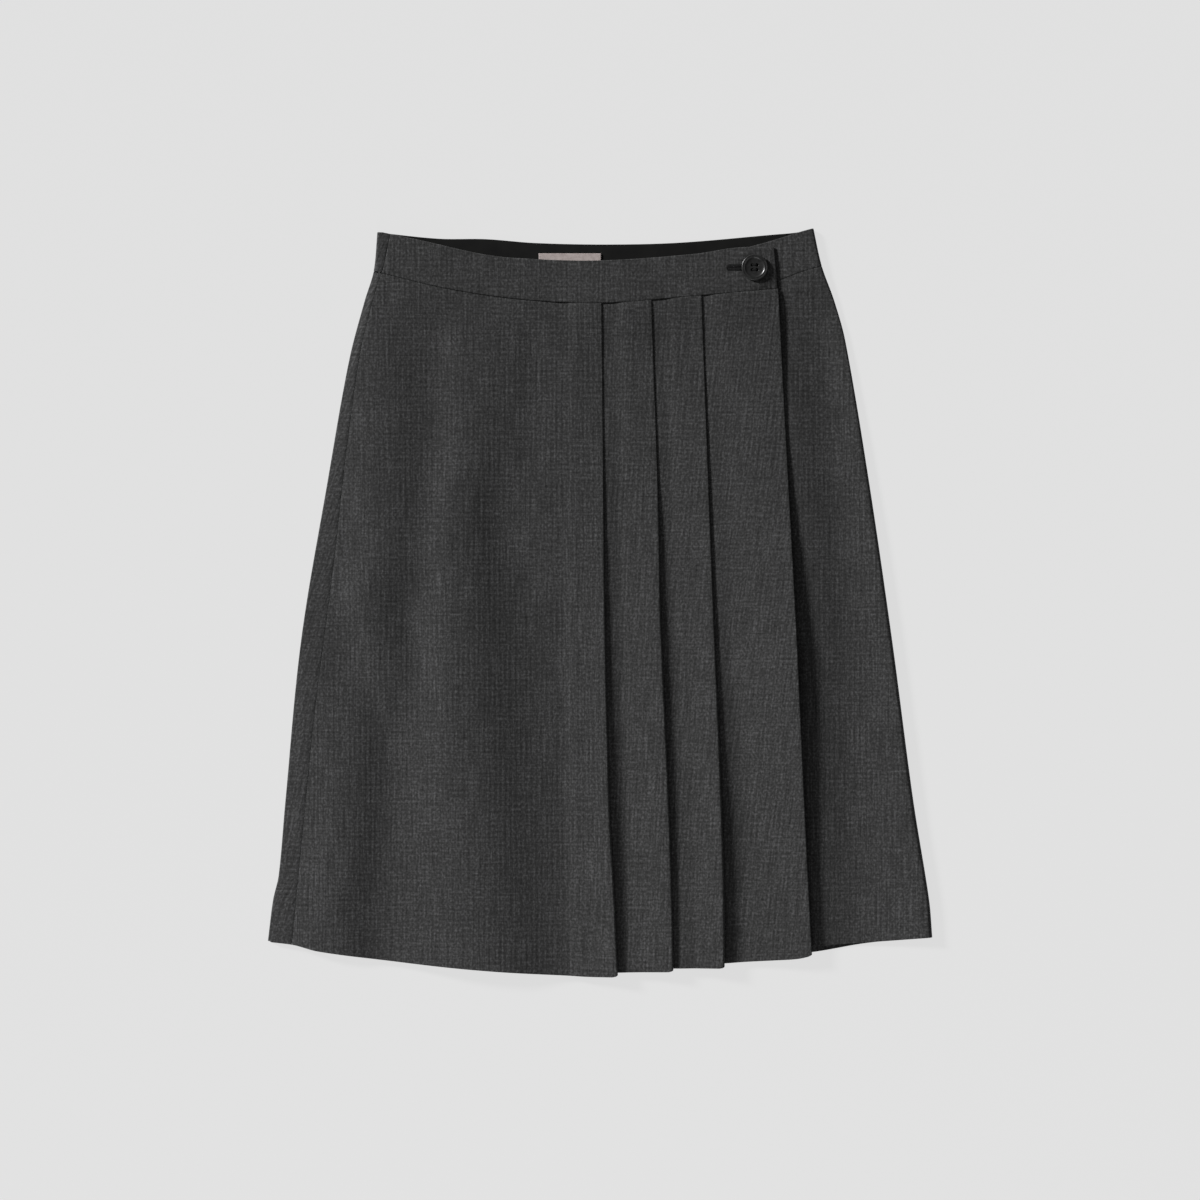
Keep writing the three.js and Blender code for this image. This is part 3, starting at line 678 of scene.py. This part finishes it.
def button():
    """A rounded outer rim, a groove, a raised inner ring, and a dished middle with four bevelled holes."""
    r, h = BUTTON_RADIUS, BUTTON_HEIGHT
    profile = [(0, 0), (3, 0), (r - 3.2, 0), (r - 1.8, 0.25), (r - 0.9, 0.75), (r - 0.35, 1.2),
               *arc(r - 0.75, 1.85, 0.75, -20, 95, 12), (r - 1.3, h - 0.22), (r - 1.7, h - 0.27),
               (r - 2.1, h - 0.16), *arc(r - 2.5, h - 0.45, 0.35, 60, 130, 5),
               (r - 3.1, h - 0.62), (r - 4.0, DISH + 0.34), (r - 5.4, DISH + 0.14), (r - 7, DISH + 0.04),
               (2.5, DISH), (0, DISH)]
    piece = turned("resin_button", profile, BUTTON_X, BUTTON_Y, BUTTON_BASE)
    bevel = HOLE_RADIUS + 0.3
    bit = [(0, -1), (HOLE_RADIUS, -1), (HOLE_RADIUS, DISH - 0.3), (bevel, DISH + 0.01), (bevel, h), (0, h)]
    cut_away(piece, [turned("drill", bit, BUTTON_X + x, BUTTON_Y + y, BUTTON_BASE, 24) for x, y in HOLES])
    piece.data.set_sharp_from_angle(angle=math.radians(38))
    return piece


def tube(path, radius, sides=6):
    """Points and faces of a closed round tube along a path of points."""
    path = np.array(path, float)
    along = unit(np.gradient(path, axis=0))
    side = unit(np.cross(along, np.where(np.abs(along[:, 2:]) > 0.9, [[1.0, 0, 0]], [[0, 0, 1.0]])))
    over = np.cross(side, along)
    turn = np.linspace(0, 2 * math.pi, sides, endpoint=False)[None, :, None]
    rings = path[:, None] + radius * (side[:, None] * np.cos(turn) + over[:, None] * np.sin(turn))
    last = (len(path) - 1) * sides
    faces = [(ring + i, ring + sides + i, ring + sides + (i + 1) % sides, ring + (i + 1) % sides)
             for ring in range(0, last, sides) for i in range(sides)]
    return rings.reshape(-1, 3), [*faces, tuple(range(sides)), tuple(range(last + sides - 1, last - 1, -1))]


def joined(name, parts):
    """One piece from several lots of points and faces, with its faces pointing out."""
    points, faces, count = [], [], 0
    for part_points, part_faces in parts:
        points.append(part_points)
        faces += [tuple(count + i for i in face) for face in part_faces]
        count += len(part_points)
    piece = mesh_object(name, np.concatenate(points), faces)
    shape = bmesh.new()
    shape.from_mesh(piece.data)
    bmesh.ops.recalc_face_normals(shape, faces=shape.faces)
    shape.to_mesh(piece.data)
    shape.free()
    return piece


def button_thread():
    """Three strands across each pair of holes, and a shank wound round below the button."""
    parts = []
    low, rest = BUTTON_BASE - 0.3, BUTTON_BASE + DISH + THREAD_RADIUS
    for y in (-HOLE_SPACING / 2, HOLE_SPACING / 2):
        for strand in (-1, 0, 1):  # the middle strand lies over the outer two
            line_y = BUTTON_Y + y + strand * 1.9 * THREAD_RADIUS
            reach = HOLE_SPACING / 2 - 0.1 * abs(strand)
            hump = rest + (0.28 if strand == 0 else 0.1)
            over = [(BUTTON_X + reach * t, line_y, mix(hump, rest - 0.1, t * t))
                    for t in np.linspace(-1, 1, 13)]
            ends = [(BUTTON_X + side * (reach + 0.12), line_y, z)
                    for side, z in ((-1, low), (-1, rest - 0.7), (1, rest - 0.7), (1, low))]
            parts.append(tube([*ends[:2], *over, *ends[2:]], THREAD_RADIUS))
    shank_foot = BAND_FACE + 0.1
    wound = []
    for t in np.linspace(0, 1, SHANK_TURNS * 16):
        angle = t * SHANK_TURNS * 2 * math.pi
        wound.append((BUTTON_X + SHANK_RADIUS * math.cos(angle), BUTTON_Y + SHANK_RADIUS * math.sin(angle),
                      mix(shank_foot, BUTTON_BASE - 0.15, t)))
    parts.append(tube(wound, SHANK_THREAD_RADIUS))
    core = [(BUTTON_X, BUTTON_Y, z) for z in (shank_foot, 7, BUTTON_BASE, BUTTON_BASE - 0.1)]
    parts.append(tube(core, SHANK_RADIUS - 0.05, 12))
    return joined("button_sewing", parts)


def keyhole(widen, steps=10):
    """The outline of the buttonhole, widened all round: a slit to the left from a round eyelet at the
    shank."""
    radius, half_slit = EYELET_RADIUS + widen, SLIT / 2 + widen
    mouth = math.degrees(math.asin(half_slit / radius))
    far = BUTTON_X + EYELET_RADIUS - SLIT_LENGTH + SLIT / 2
    eye = arc(BUTTON_X, BUTTON_Y, radius, mouth - 180, 180 - mouth, 2 * steps)
    between_arcs = np.linspace(eye[-1][0], far, 14)[1:-1]
    upper = [(x, BUTTON_Y + half_slit) for x in between_arcs]
    lower = [(x, BUTTON_Y - half_slit) for x in between_arcs[::-1]]
    return eye + upper + arc(far, BUTTON_Y, half_slit, 90, 270, steps) + lower


def cut_buttonhole(band):
    """Cuts the keyhole through the wrap band with a prism of its outline."""
    outline = keyhole(0)
    count = len(outline)
    points = [(x, y, z) for z in (CUT_FLOOR, CUT_TOP) for x, y in outline]
    sides = [(i, (i + 1) % count, count + (i + 1) % count, count + i) for i in range(count)]
    faces = [*sides, tuple(range(count - 1, -1, -1)), tuple(range(count, 2 * count))]
    cut_away(band, [mesh_object("buttonhole_cutter", points, faces)])
    band.data.set_sharp_from_angle(angle=math.radians(50))


def stitch_tree(name, material):
    """Stitches along a curve: each an arched thread laid across it. Inputs in metres."""
    tree = bpy.data.node_groups.new(name, "GeometryNodeTree")
    tree.interface.new_socket("Geometry", in_out="INPUT", socket_type="NodeSocketGeometry")
    for size in ("Spacing", "Length", "Arch", "Thread Radius"):
        tree.interface.new_socket(size, in_out="INPUT", socket_type="NodeSocketFloat")
    tree.interface.new_socket("Geometry", in_out="OUTPUT", socket_type="NodeSocketGeometry")
    given = add_node(tree, "NodeGroupInput").outputs
    back = add_node(tree, "ShaderNodeMath", {0: given["Length"], 1: -0.5}, operation="MULTIPLY").outputs[0]
    front = add_node(tree, "ShaderNodeMath", {0: given["Length"], 1: 0.5}, operation="MULTIPLY").outputs[0]
    peak = add_node(tree, "ShaderNodeMath", {0: given["Arch"], 1: 2.0}, operation="MULTIPLY").outputs[0]
    start = add_node(tree, "ShaderNodeCombineXYZ", {"X": back}).outputs[0]
    middle = add_node(tree, "ShaderNodeCombineXYZ", {"Z": peak}).outputs[0]
    end = add_node(tree, "ShaderNodeCombineXYZ", {"X": front}).outputs[0]
    bow = add_node(tree, "GeometryNodeCurveQuadraticBezier", {
        "Resolution": 6, "Start": start, "Middle": middle, "End": end}).outputs[0]
    round_thread = add_node(tree, "GeometryNodeCurvePrimitiveCircle", {
        "Resolution": 6, "Radius": given["Thread Radius"]}).outputs[0]
    thread = add_node(tree, "GeometryNodeCurveToMesh", {
        "Curve": bow, "Profile Curve": round_thread, "Fill Caps": True}).outputs[0]
    stitch = add_node(tree, "GeometryNodeSetShadeSmooth", {"Geometry": thread}).outputs[0]
    stepped = add_node(tree, "GeometryNodeResampleCurve", {
        "Curve": given["Geometry"], "Length": given["Spacing"]}, mode="LENGTH").outputs[0]
    tangent = add_node(tree, "GeometryNodeInputTangent").outputs[0]
    turn = add_node(tree, "FunctionNodeAlignRotationToVector", {"Vector": tangent}, axis="Y", pivot_axis="Z")
    laid = add_node(tree, "GeometryNodeInstanceOnPoints", {
        "Points": stepped, "Instance": stitch, "Rotation": turn.outputs[0]}).outputs[0]
    real = add_node(tree, "GeometryNodeRealizeInstances", {"Geometry": laid}).outputs[0]
    dressed = add_node(tree, "GeometryNodeSetMaterial", {"Geometry": real, "Material": material}).outputs[0]
    add_node(tree, "NodeGroupOutput", {"Geometry": dressed})
    return tree


def stitches(name, tree, paths, closed, sizes):
    """A plain mesh of the stitches along one or more paths of points. The sizes are in millimetres."""
    curve = bpy.data.curves.new(name, "CURVE")
    curve.dimensions = "3D"
    for path in paths:
        spline = curve.splines.new("POLY")
        spline.points.add(len(path) - 1)
        spline.use_cyclic_u = closed
        for point, place in zip(spline.points, metres(path)):
            point.co = (*place, 1)
    guide = bpy.data.objects.new(name + "_path", curve)
    bpy.context.scene.collection.objects.link(guide)
    made = guide.modifiers.new("stitches", "NODES")
    made.node_group = tree
    for item in tree.interface.items_tree:
        if item.in_out == "INPUT" and item.name in sizes:
            made[item.identifier] = sizes[item.name] / 1000
    mesh = plain_mesh(guide)
    bpy.data.objects.remove(guide)
    mesh.name = name
    piece = bpy.data.objects.new(name, mesh)
    bpy.context.scene.collection.objects.link(piece)
    return piece


def buttonhole_stitches(tree):
    """Close purl stitches that bind the edge of the keyhole."""
    sunk = 0.12
    path = [(x, y, float(wrap_band_level(x) + button_pucker(x, y)) + BAND / 2 - sunk)
            for x, y in keyhole(widen=0.9, steps=14)]
    return stitches("buttonhole_stitches", tree, [path], True,
                    {"Spacing": 0.55, "Length": 2.6, "Arch": 0.32, "Thread Radius": 0.25})


def label_stitches(tree):
    """Small slanted stitches that hold the two short ends of the label to the facing."""
    height = LABEL_LEVEL + LABEL_CLOTH / 2 - 0.05
    ends = [LABEL_LEFT + 0.2, LABEL_LEFT + LABEL_WIDTH - 0.2]
    paths = [[(x, LABEL_TOP - 1, height), (x, LABEL_TOP - LABEL_HEIGHT + 1, height)] for x in ends]
    return stitches("label_stitches", tree, paths, False,
                    {"Spacing": 1.6, "Length": 1.3, "Arch": 0.12, "Thread Radius": 0.12})


# ---------------------------------------------------------------- materials

def colour(hex_code):
    """An sRGB hex colour as linear RGBA."""
    parts = [int(hex_code[i:i + 2], 16) / 255 for i in (1, 3, 5)]
    return (*[p / 12.92 if p <= 0.04045 else ((p + 0.055) / 1.055) ** 2.4 for p in parts], 1)


def add_node(tree, kind, inputs=None, **settings):
    """Adds a node. An input's value is a number, a colour or another node's output."""
    made = tree.nodes.new(kind)
    for name, value in settings.items():
        setattr(made, name, value)
    for name, value in (inputs or {}).items():
        if isinstance(value, bpy.types.NodeSocket):
            tree.links.new(value, made.inputs[name])
        else:
            made.inputs[name].default_value = value
    return made


def bands(spacing, diagonal=False):
    """The scale of a wave texture whose bands lie this many millimetres apart along an axis. At scale 1 the
    wave turns 20 radians in a metre, or 10 along each axis where it is diagonal."""
    return 1000 * 2 * math.pi / ((10 if diagonal else 20) * spacing)


def new_material(name, settings):
    """A material with its node tree and its shader, which takes the settings."""
    material = bpy.data.materials.new(name)
    material.use_nodes = True
    tree = material.node_tree
    shader = tree.nodes["Principled BSDF"]
    for setting, value in settings.items():
        shader.inputs[setting].default_value = value
    return material, tree, shader


def toned(tree, shader, share, dark, light):
    """Colours a shader by a share. Dark and light are each a share and the hex colour that it gets."""
    tone = add_node(tree, "ShaderNodeValToRGB", {"Fac": share})
    for element, (at, hex_code) in zip(tone.color_ramp.elements, (dark, light)):
        element.position, element.color = at, colour(hex_code)
    tree.links.new(tone.outputs[0], shader.inputs["Base Color"])
    return tone


def bumped(tree, shader, height, strength, distance):
    """Gives a shader the relief of a height."""
    bump = add_node(tree, "ShaderNodeBump", {"Height": height, "Strength": strength, "Distance": distance})
    tree.links.new(bump.outputs[0], shader.inputs["Normal"])


def wool_suiting():
    """Melange worsted wool: dark yarns spun with pale fibres, so warp and weft slubs show as fine pale and
    dark streaks over a plain weave, with a soft matte nap."""
    material, tree, shader = new_material("melange_wool_suiting", {
        "Roughness": 0.92, "Specular IOR Level": 0.2, "Sheen Weight": 0.08, "Sheen Roughness": 0.6})
    cut = add_node(tree, "ShaderNodeUVMap", uv_map="cut")

    def streaks(across_mm, along_mm, detail):
        stretched = add_node(tree, "ShaderNodeMapping", {
            "Vector": cut.outputs[0], "Scale": (1000 / across_mm, 1000 / along_mm, 1)})
        return add_node(tree, "ShaderNodeTexNoise", {
            "Vector": stretched.outputs[0], "Scale": 1.0, "Detail": detail, "Roughness": 0.6}).outputs["Fac"]

    # Real yarns are 0.4 mm wide, too fine to show, so their streaks are drawn 1.5 mm wide.
    warp = streaks(1.5, 34, 2.0)
    weft = streaks(26, 1.5, 2.0)
    fleck = streaks(1.7, 2.3, 2.0)
    cloud = streaks(45, 70, 1.0)
    yarns = add_node(tree, "ShaderNodeMix", {0: 0.42, 2: warp, 3: weft}, data_type="FLOAT").outputs[0]
    slubs = add_node(tree, "ShaderNodeMix", {0: 0.5, 2: yarns, 3: fleck}, data_type="FLOAT").outputs[0]
    shade = add_node(tree, "ShaderNodeMix", {0: 0.05, 2: slubs, 3: cloud}, data_type="FLOAT").outputs[0]
    tone = toned(tree, shader, shade, (0.33, "#090909"), (0.69, "#505051"))
    tone.color_ramp.elements.new(0.5).color = colour("#2a2a2a")

    # Plain weave. Real threads lie 0.4 mm apart, too fine to show, so the bands are drawn 4.4 mm apart.
    weave = [add_node(tree, "ShaderNodeTexWave", {
        "Vector": cut.outputs[0], "Scale": bands(4.4), "Distortion": 1.5, "Detail": 1.0,
        "Detail Scale": 2.0}, bands_direction=axis).outputs["Fac"] for axis in ("X", "Y")]
    crossing = add_node(tree, "ShaderNodeMath", {0: weave[0], 1: weave[1]}, operation="ADD").outputs[0]
    surface = add_node(tree, "ShaderNodeMix", {0: 0.55, 2: crossing, 3: slubs}, data_type="FLOAT").outputs[0]
    bumped(tree, shader, surface, 0.5, 0.0004)
    return material


def facing_twill():
    """Black viscose twill lining: nearly black, a little smoother than the wool, with fine diagonal ribs.
    Real ribs lie 0.4 mm apart and are drawn coarser, so that they show."""
    material, tree, shader = new_material("black_viscose_twill", {
        "Roughness": 0.8, "Specular IOR Level": 0.15})
    cut = add_node(tree, "ShaderNodeUVMap", uv_map="cut")
    ribs = add_node(tree, "ShaderNodeTexWave", {
        "Vector": cut.outputs[0], "Scale": bands(1.6, diagonal=True), "Distortion": 0.8, "Detail": 1.0},
        bands_direction="DIAGONAL")
    patch = add_node(tree, "ShaderNodeTexNoise", {
        "Vector": cut.outputs[0], "Scale": 1000 / 12, "Detail": 3.0})
    toned(tree, shader, patch.outputs["Fac"], (0.3, "#0b0b0b"), (0.7, "#121211"))
    bumped(tree, shader, ribs.outputs["Fac"], 0.35, 0.0001)
    return material


def label_weave():
    """Damask woven label in pale pinkish grey: close weft ribs with a soft shine, and no lettering. Real ribs
    lie 0.25 mm apart and are drawn coarser, so that they show."""
    material, tree, shader = new_material("damask_woven_label", {"Roughness": 0.6})
    cut = add_node(tree, "ShaderNodeUVMap", uv_map="cut")
    ribs = add_node(tree, "ShaderNodeTexWave", {
        "Vector": cut.outputs[0], "Scale": bands(0.9), "Distortion": 0.6, "Detail": 1.0},
        bands_direction="Y")
    patch = add_node(tree, "ShaderNodeTexNoise", {"Vector": cut.outputs[0], "Scale": 1000 / 3, "Detail": 3.0})
    both = add_node(tree, "ShaderNodeMix", {
        0: 0.6, 2: ribs.outputs["Fac"], 3: patch.outputs["Fac"]}, data_type="FLOAT")
    toned(tree, shader, both.outputs[0], (0.25, "#8d817e"), (0.75, "#b9aeab"))
    bumped(tree, shader, both.outputs[0], 0.4, 0.0001)
    return material


def polished_resin():
    """Cast polyester button, tumble polished: glossy black with faint grey smoke inside."""
    material, tree, shader = new_material("polished_polyester_resin", {"IOR": 1.54})
    place = add_node(tree, "ShaderNodeTexCoord")
    smoke = add_node(tree, "ShaderNodeTexNoise", {
        "Vector": place.outputs["Object"], "Scale": 1000 / 5, "Detail": 4.0, "Distortion": 1.5})
    toned(tree, shader, smoke.outputs["Fac"], (0.35, "#131313"), (0.75, "#262626"))
    scuffs = add_node(tree, "ShaderNodeTexNoise", {"Vector": place.outputs["Object"], "Scale": 1000 / 1.2})
    worn = add_node(tree, "ShaderNodeMapRange", {
        "Value": scuffs.outputs["Fac"], "To Min": 0.26, "To Max": 0.42})
    tree.links.new(worn.outputs[0], shader.inputs["Roughness"])
    return material


def sewing_thread(name, dark, light):
    """Spun polyester thread: matte, with the twist of its plies as fine pale and dark bands 0.7 mm apart."""
    material, tree, shader = new_material(name, {"Roughness": 0.85, "Specular IOR Level": 0.2})
    place = add_node(tree, "ShaderNodeTexCoord")
    plies = add_node(tree, "ShaderNodeTexWave", {
        "Vector": place.outputs["Object"], "Scale": bands(0.7, diagonal=True), "Distortion": 1.0},
        bands_direction="DIAGONAL")
    toned(tree, shader, plies.outputs["Fac"], (0, dark), (1, light))
    return material


# ---------------------------------------------------------------- camera, floor and light

# Places and sizes in this section are in metres.
PICTURE_WIDTH = 1.008  # across the picture at the height of the cloth
LENS, SENSOR = 100, 36  # in millimetres, a long lens that looks straight down
CAMERA_Y = 0.0021
CLOTH_HEIGHT = 0.006
KEY_HEIGHT, KEY_TURN = math.radians(22.5), math.radians(32)  # above the table, and from -X toward +Y
KEY_SHARE, SKY_SHARE = 0.77, 0.13  # of the light on a level white surface
KEY_WIDTH = math.radians(10)  # how wide the key light looks from the skirt, which softens its shadows
LOW_PLACE, LOW_SIZE, LOW_POWER = (-0.2, -1.35, 0.75), 1.0, 7  # a soft panel past the hem, in watts
FLOOR_LEVEL, FLOOR_WHITE = 0.752, 0.06  # the lit paper's own brightness, and how much of it takes shadows
FLOOR_REACH, FLOOR_DROP = 6, 0.0002


def aim(made, toward):
    """Turns a light so that it shines from this direction, and puts it in the scene."""
    made.rotation_euler = Vector(toward).to_track_quat("Z", "Y").to_euler()
    bpy.context.scene.collection.objects.link(made)


def stage_and_light():
    """The camera over the skirt, a pale floor, a soft key light from the upper left and an even sky."""
    scene = bpy.context.scene
    scene.view_settings.view_transform = "Standard"
    camera = bpy.data.objects.new("camera", bpy.data.cameras.new("camera"))
    camera.data.lens, camera.data.sensor_width = LENS, SENSOR
    camera.location = (0, CAMERA_Y, CLOTH_HEIGHT + PICTURE_WIDTH * LENS / SENSOR)
    scene.collection.objects.link(camera)
    scene.camera = camera

    reach = 1000 * FLOOR_REACH
    corners = [(-reach, -reach, 0), (reach, -reach, 0), (reach, reach, 0), (-reach, reach, 0)]
    floor = mesh_object("floor", corners, [(0, 1, 2, 3)])
    floor.location.z = -FLOOR_DROP
    material = bpy.data.materials.new("lit_paper")
    material.use_nodes = True
    tree = material.node_tree
    tree.nodes.clear()
    paper = add_node(tree, "ShaderNodeBsdfDiffuse", {"Color": (FLOOR_WHITE, FLOOR_WHITE, FLOOR_WHITE, 1)})
    glow = add_node(tree, "ShaderNodeEmission", {
        "Color": (1, 1, 1, 1), "Strength": FLOOR_LEVEL - FLOOR_WHITE})
    both = add_node(tree, "ShaderNodeAddShader", {0: paper.outputs[0], 1: glow.outputs[0]})
    add_node(tree, "ShaderNodeOutputMaterial", {"Surface": both.outputs[0]})
    floor.data.materials.append(material)

    world = bpy.data.worlds.new("studio")
    scene.world = world
    world.use_nodes = True
    sky = world.node_tree.nodes["Background"]
    sky.inputs["Color"].default_value = (1, 1, 1, 1)
    sky.inputs["Strength"].default_value = SKY_SHARE

    key = bpy.data.objects.new("key", bpy.data.lights.new("key", "SUN"))
    key.data.energy = KEY_SHARE * math.pi / math.sin(KEY_HEIGHT)
    key.data.angle = KEY_WIDTH
    across = math.cos(KEY_HEIGHT)
    aim(key, (-across * math.cos(KEY_TURN), across * math.sin(KEY_TURN), math.sin(KEY_HEIGHT)))

    low = bpy.data.objects.new("low_panel", bpy.data.lights.new("low_panel", "AREA"))
    low.data.size = LOW_SIZE
    low.data.energy = LOW_POWER
    low.location = LOW_PLACE
    aim(low, LOW_PLACE)


# ---------------------------------------------------------------- making it

def finish_piece(piece, material=None, node=None):
    """Gives the piece its material, hides the CAD node that it stands for, and gives the piece its place in
    the model.
    """
    if material:
        piece.data.materials.clear()
        piece.data.materials.append(material)
    if node:
        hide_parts(node)
    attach(piece, "root")


stage_and_light()
wool = wool_suiting()
twill = facing_twill()
damask = label_weave()

# The function that makes each piece, the CAD node that it stands for, its material and slot, the width and
# length of its cut in metres, its area in square metres where that isn't a rectangle, and what it lies on
CLOTH_PIECES = [
    (wrap_panel, "front_wrap_panel", wool, "wool_suiting", (0.65, 0.6), 0.325, ["under_front"]),
    (under_panel, "front_under_panel", wool, "wool_suiting", (0.54, 0.575), 0.25, ["back"]),
    (back_panel, "back_panel", wool, "wool_suiting", (0.57, 0.585), 0.275, []),
    (wrap_band, "wrap_waistband", wool, "wool_suiting", (0.335, 0.036), None, ["under_band"]),
    (under_band, "under_waistband", wool, "wool_suiting", (0.345, 0.036), None, ["back_band_facing"]),
    (back_band, "back_waistband", wool, "wool_suiting", (0.375, 0.036), None, []),
    (band_facing, "back_waistband_facing", twill, "black_lining_facing", (0.348, 0.036), None, ["back_band"]),
    (label, "woven_label", damask, "woven_label", (0.052, 0.013), None, ["back_band_facing"]),
]
for make, node, material, slot, cut_size, cut_area, rests_on in CLOTH_PIECES:
    piece = make()
    if make is wrap_band:
        cut_buttonhole(piece)
    finish_piece(piece, material, node)

black_thread = sewing_thread("spun_polyester_thread_black", "#0e0e0e", "#1b1b1b")
grey_thread = sewing_thread("spun_polyester_thread_grey", "#8a807e", "#b5aaa8")
finish_piece(button(), polished_resin(), "button")
finish_piece(button_thread(), black_thread, "button_thread")
finish_piece(buttonhole_stitches(stitch_tree("buttonhole_stitch", black_thread)))
finish_piece(label_stitches(stitch_tree("label_stitch", grey_thread)))
